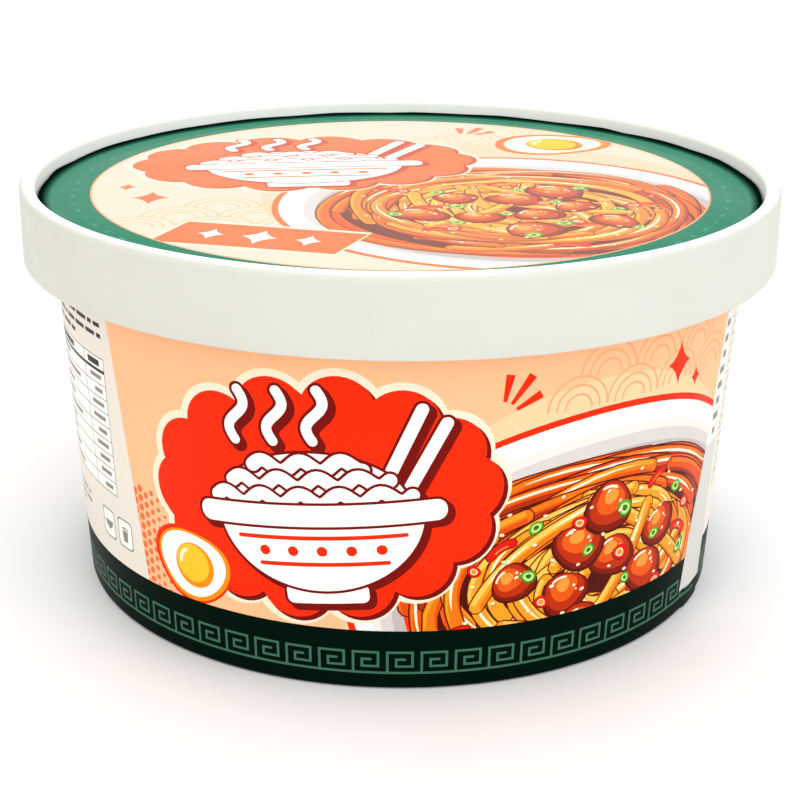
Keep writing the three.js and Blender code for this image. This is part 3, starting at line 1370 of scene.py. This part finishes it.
def lid_ring_profile():
    """Closed outline of the ring: thin skirt, rounded crest and the hollow that takes the rolled rim."""
    skirt_inner = LID_RADIUS - SKIRT_THICKNESS
    edge = SKIRT_BOTTOM + SKIRT_EDGE_ROUND
    crest = CREST_WIDTH / 2
    points = profile_arc(skirt_inner + SKIRT_EDGE_ROUND, edge, SKIRT_EDGE_ROUND, 180, 265, 4)
    points += profile_arc(LID_RADIUS - SKIRT_EDGE_ROUND, edge, SKIRT_EDGE_ROUND, 275, 355, 4)
    for step in range(1, 6):
        points.append((LID_RADIUS, edge + (CREST_TOP - crest - edge) * step / 6))
    points += profile_arc(LID_RADIUS - crest, CREST_TOP - crest, crest, 0, 180, 18)
    points.append((LID_RADIUS - CREST_WIDTH, DISC_BOTTOM))
    points += profile_arc(ROLL_MIDDLE, BOWL_TOP - ROLL_RADIUS, ROLL_RADIUS + PAPER_GAP, 90, 0, 8)
    points.append((skirt_inner, edge + 4))
    return points


def make_lid_ring():
    points = lid_ring_profile()[::-1]
    mesh = bpy.data.meshes.new("lid_ring_profile")
    outline = [Vector((radius - PATH_RADIUS, -height, 0)) * MM for radius, height in points]
    mesh.from_pydata(outline, loop_edges(0, len(points)), [])
    ring = grown("lid_ring_paper", mesh, lid_ring_tree(), {
        "Turn Steps": 256,
        "Unevenness": 0.3 * MM,
        "Unevenness Scale": 14.0,
        "Seed": 3.0,
        "Paper": skirt_paper(),
    })
    ring.data.shade_smooth()
    ring.data.set_sharp_from_angle(angle=math.radians(50))
    return ring


def foot_crimp_tree():
    """Small pressed ribs, evenly spaced round the inside of the foot ring."""
    tree, start, end = new_tree("foot_crimps", [
        ("Crimps", "NodeSocketInt"),
        ("Radius", "NodeSocketFloat"),
        ("Height", "NodeSocketFloat"),
        ("Crimp Size", "NodeSocketVector"),
        ("Paper", "NodeSocketMaterial"),
    ])
    path = add_node(tree, "GeometryNodeCurvePrimitiveCircle", [
        ("Resolution", start.outputs["Crimps"]), ("Radius", start.outputs["Radius"]),
    ])
    lift = add_node(tree, "ShaderNodeCombineXYZ", [("Z", start.outputs["Height"])])
    raised = add_node(tree, "GeometryNodeSetPosition", [
        ("Geometry", path.outputs[0]), ("Offset", lift.outputs[0]),
    ])
    rib = add_node(tree, "GeometryNodeMeshUVSphere", [("Segments", 8), ("Rings", 6), ("Radius", 1.0)])
    index = add_node(tree, "GeometryNodeInputIndex")
    step = add_node(tree, "ShaderNodeMath", [
        (0, FULL_TURN), (1, start.outputs["Crimps"]),
    ], operation="DIVIDE")
    turn = add_node(tree, "ShaderNodeMath", [
        (0, index.outputs[0]), (1, step.outputs[0]),
    ], operation="MULTIPLY")
    rotation = add_node(tree, "ShaderNodeCombineXYZ", [("Z", turn.outputs[0])])
    ribs = add_node(tree, "GeometryNodeInstanceOnPoints", [
        ("Points", raised.outputs[0]), ("Instance", rib.outputs[0]),
        ("Rotation", rotation.outputs[0]), ("Scale", start.outputs["Crimp Size"]),
    ])
    finish_tree(tree, ribs.outputs[0], start.outputs["Paper"], end)
    return tree


def make_foot_crimps():
    crimps = grown("foot_crimps", bpy.data.meshes.new("foot_crimp_start"), foot_crimp_tree(), {
        "Crimps": 120,
        "Radius": (BASE_RADIUS - FOOT_WIDTH) * MM,
        "Height": 2.8 * MM,
        "Crimp Size": (0.28 * MM, 0.62 * MM, 1.9 * MM),
        "Paper": WALL_INKS["bare_paper"],
    })
    crimps.data.shade_smooth()
    return crimps


# Finishes

# Sockets of a Mix node for colours
MIX_FIRST = 6
MIX_SECOND = 7
MIX_RESULT = 2


def linear(code):
    """Colour code as the linear values that a shader takes."""
    values = []
    for channel in bytes.fromhex(code):
        share = channel / 255
        values.append(share / 12.92 if share <= 0.04045 else ((share + 0.055) / 1.055) ** 2.4)
    return (*values, 1.0)


def paper_fibre_group():
    """Shared paper surface: cloudy tone, uneven gloss and a fine fibre relief."""
    group = bpy.data.node_groups.new("paper_fibre", "ShaderNodeTree")
    for label, kind in (
        ("Vector", "NodeSocketVector"), ("Fibre Scale", "NodeSocketFloat"),
        ("Gloss Low", "NodeSocketFloat"), ("Gloss High", "NodeSocketFloat"),
    ):
        group.interface.new_socket(label, in_out="INPUT", socket_type=kind)
    for label in ("Roughness", "Height", "Cloud"):
        group.interface.new_socket(label, in_out="OUTPUT", socket_type="NodeSocketFloat")
    start = group.nodes.new("NodeGroupInput")
    end = group.nodes.new("NodeGroupOutput")
    cloud = add_node(group, "ShaderNodeTexNoise", [
        ("Vector", start.outputs["Vector"]), ("Scale", 60.0), ("Detail", 4.0),
    ])
    fibre = add_node(group, "ShaderNodeTexNoise", [
        ("Vector", start.outputs["Vector"]), ("Scale", start.outputs["Fibre Scale"]), ("Detail", 3.0),
    ])
    gloss = add_node(group, "ShaderNodeMapRange", [
        ("Value", cloud.outputs[0]), ("From Min", 0.3), ("From Max", 0.7),
        ("To Min", start.outputs["Gloss Low"]), ("To Max", start.outputs["Gloss High"]),
    ])
    group.links.new(gloss.outputs[0], end.inputs["Roughness"])
    group.links.new(fibre.outputs[0], end.inputs["Height"])
    group.links.new(cloud.outputs[0], end.inputs["Cloud"])
    return group


def paper_material(name, fibre_scale, gloss_low, gloss_high, relief):
    """A paper with the shared fibre; returns the material, its shader and the fibre node."""
    material = bpy.data.materials.new(name)
    material.use_nodes = True
    tree = material.node_tree
    shader = tree.nodes["Principled BSDF"]
    place = add_node(tree, "ShaderNodeTexCoord")
    fibre = add_node(tree, "ShaderNodeGroup", node_tree=PAPER_FIBRE)
    tree.links.new(place.outputs["Object"], fibre.inputs["Vector"])
    fibre.inputs["Fibre Scale"].default_value = fibre_scale
    fibre.inputs["Gloss Low"].default_value = gloss_low
    fibre.inputs["Gloss High"].default_value = gloss_high
    bump = add_node(tree, "ShaderNodeBump", [
        ("Height", fibre.outputs["Height"]), ("Strength", relief), ("Distance", 0.00005),
    ])
    tree.links.new(fibre.outputs["Roughness"], shader.inputs["Roughness"])
    tree.links.new(bump.outputs[0], shader.inputs["Normal"])
    return material, shader, fibre


def printed_ink(name, code, gloss):
    """Varnished ink: even colour, satin gloss and a trace of the paper below."""
    material, shader, fibre = paper_material(name, 2600.0, 0.3, 0.4, 0.25)
    shader.inputs["Base Color"].default_value = linear(code)
    shader.inputs["Specular IOR Level"].default_value = gloss
    return material


def printed_inks(prefix, codes, gloss):
    """Every ink's material, by the name of the ink."""
    inks = {}
    for name, code in codes.items():
        inks[name] = printed_ink(prefix + name, code, INK_GLOSS.get(name, gloss))
    return inks


def skirt_paper():
    """Uncoated white paper, a little warmer where it is cloudy. A painted highlight makes it whiter from the
    crest inwards, and the outer skirt keeps a greyer tone as painted shade.
    """
    material, shader, fibre = paper_material("skirt_paper", 1500.0, 0.5, 0.62, 0.5)
    tree = material.node_tree
    place = add_node(tree, "ShaderNodeTexCoord")
    level = add_node(tree, "ShaderNodeVectorMath", [
        (0, place.outputs["Object"]), (1, (1, 1, 0)),
    ], operation="MULTIPLY")
    radius = add_node(tree, "ShaderNodeVectorMath", [(0, level.outputs[0])], operation="LENGTH")
    # Painted highlight: the paper turns white from the crest inwards
    crest_highlight = add_node(tree, "ShaderNodeMapRange", [
        ("Value", radius.outputs["Value"]),
        ("From Min", (LID_RADIUS - 0.2) * MM), ("From Max", (LID_RADIUS - 1.4) * MM),
    ], interpolation_type="SMOOTHSTEP")
    # Greyer tone of the outer skirt: painted shade beside the whitened crest
    shaded_skirt_tone = add_node(tree, "ShaderNodeMix", [
        ("Factor", fibre.outputs["Cloud"]), (MIX_FIRST, linear("D2D3CA")), (MIX_SECOND, linear("CCCCC2")),
    ], data_type="RGBA")
    white = add_node(tree, "ShaderNodeMix", [
        ("Factor", crest_highlight.outputs[0]), (MIX_FIRST, shaded_skirt_tone.outputs[MIX_RESULT]), (MIX_SECOND, linear("FCFCF9")),
    ], data_type="RGBA")
    tree.links.new(white.outputs[MIX_RESULT], shader.inputs["Base Color"])
    return material


def floor_finish():
    material, shader, fibre = paper_material("pale_floor", 300.0, 0.6, 0.7, 0.1)
    shader.inputs["Base Color"].default_value = (0.86, 0.86, 0.86, 1)
    return material


# Stage, light and camera, in metres

FLOOR_SIDE = 6.0


def make_floor():
    sheet = bar(0, 0, FLOOR_SIDE, FLOOR_SIDE)
    mesh = bpy.data.meshes.new("floor")
    mesh.from_pydata([(corner.x, corner.y, 0) for corner in sheet], [], [(0, 1, 2, 3)])
    mesh.materials.append(floor_finish())
    floor = bpy.data.objects.new("floor", mesh)
    bpy.context.scene.collection.objects.link(floor)


def softbox(name, place, aim, width, height, power, colour=(1, 1, 1)):
    """A large soft light that looks from its place at an aim."""
    light = bpy.data.lights.new(name, "AREA")
    light.shape = "RECTANGLE"
    light.size = width
    light.size_y = height
    light.energy = power
    light.color = colour
    lamp = bpy.data.objects.new(name, light)
    lamp.location = place
    lamp.rotation_euler = (Vector(aim) - Vector(place)).to_track_quat("-Z", "Y").to_euler()
    bpy.context.scene.collection.objects.link(lamp)


def make_light():
    world = bpy.data.worlds.new("studio")
    world.use_nodes = True
    background = world.node_tree.nodes["Background"]
    background.inputs["Color"].default_value = (1, 1, 1, 1)
    background.inputs["Strength"].default_value = 0.5
    bpy.context.scene.world = world
    bpy.context.scene.view_settings.view_transform = "Standard"
    softbox("top_softbox", (0.1, 0.35, 1.5), (0.1, 0.3499, 0), width=2.4, height=2.4, power=27.0)
    softbox("front_softbox", (0.25, -1.6, 0.7), (0, 0, 0.04), width=1.6, height=1.2, power=3.5)
    softbox("back_softbox", (0, 1.5, 0.55), (0, 0, 0.08), width=2.4, height=0.9, power=2.5)
    softbox("right_softbox", (0.9, -0.8, 0.6), (0, 0, 0.04), width=1.6, height=1.4, power=8.2)
    softbox(
        "left_softbox", (-1.0, -0.6, 0.5), (0, 0, 0.04),
        width=1.5, height=1.4, power=6.0, colour=(1, 0.93, 0.85),
    )


# The photograph's camera, placed in millimetres
CAMERA_PLACE = Vector((0.2, -359.7, 168.2))
CAMERA_PITCH = math.radians(20.63)
CAMERA_ROLL = math.radians(0.42)
IMAGE_SIDE = 800
FOCAL_PIXELS = 1771
SENSOR_WIDTH = 36.0


def make_camera():
    lens = bpy.data.cameras.new("photo_camera")
    lens.sensor_fit = "HORIZONTAL"
    lens.sensor_width = SENSOR_WIDTH
    lens.lens = SENSOR_WIDTH * FOCAL_PIXELS / IMAGE_SIDE
    lens.clip_start = 0.01
    camera = bpy.data.objects.new("photo_camera", lens)
    tilt = Matrix.Rotation(math.pi / 2 - CAMERA_PITCH, 4, "X")
    roll = Matrix.Rotation(CAMERA_ROLL, 4, "Z")
    camera.matrix_world = Matrix.Translation(CAMERA_PLACE * MM) @ tilt @ roll
    bpy.context.scene.collection.objects.link(camera)
    bpy.context.scene.camera = camera


# Putting the pack together

PAPER_FIBRE = paper_fibre_group()
WALL_INKS = printed_inks("wall_", INKS, WALL_GLOSS)
# The lid's inks include the shades that are painted sheen
LID_INKS = printed_inks("lid_", {**INKS, **LID_PAINTED_SHEEN_INKS}, LID_GLOSS)

make_camera()
make_light()
make_floor()

bowl_paper = make_bowl()
foot_crimps = make_foot_crimps()
lid_ring_paper = make_lid_ring()
lid_disc_paper = make_lid_disc()

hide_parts("bowl")
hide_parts("lid_ring")
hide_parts("lid_disc")
for piece in (bowl_paper, foot_crimps, lid_ring_paper, lid_disc_paper):
    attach(piece, "root")
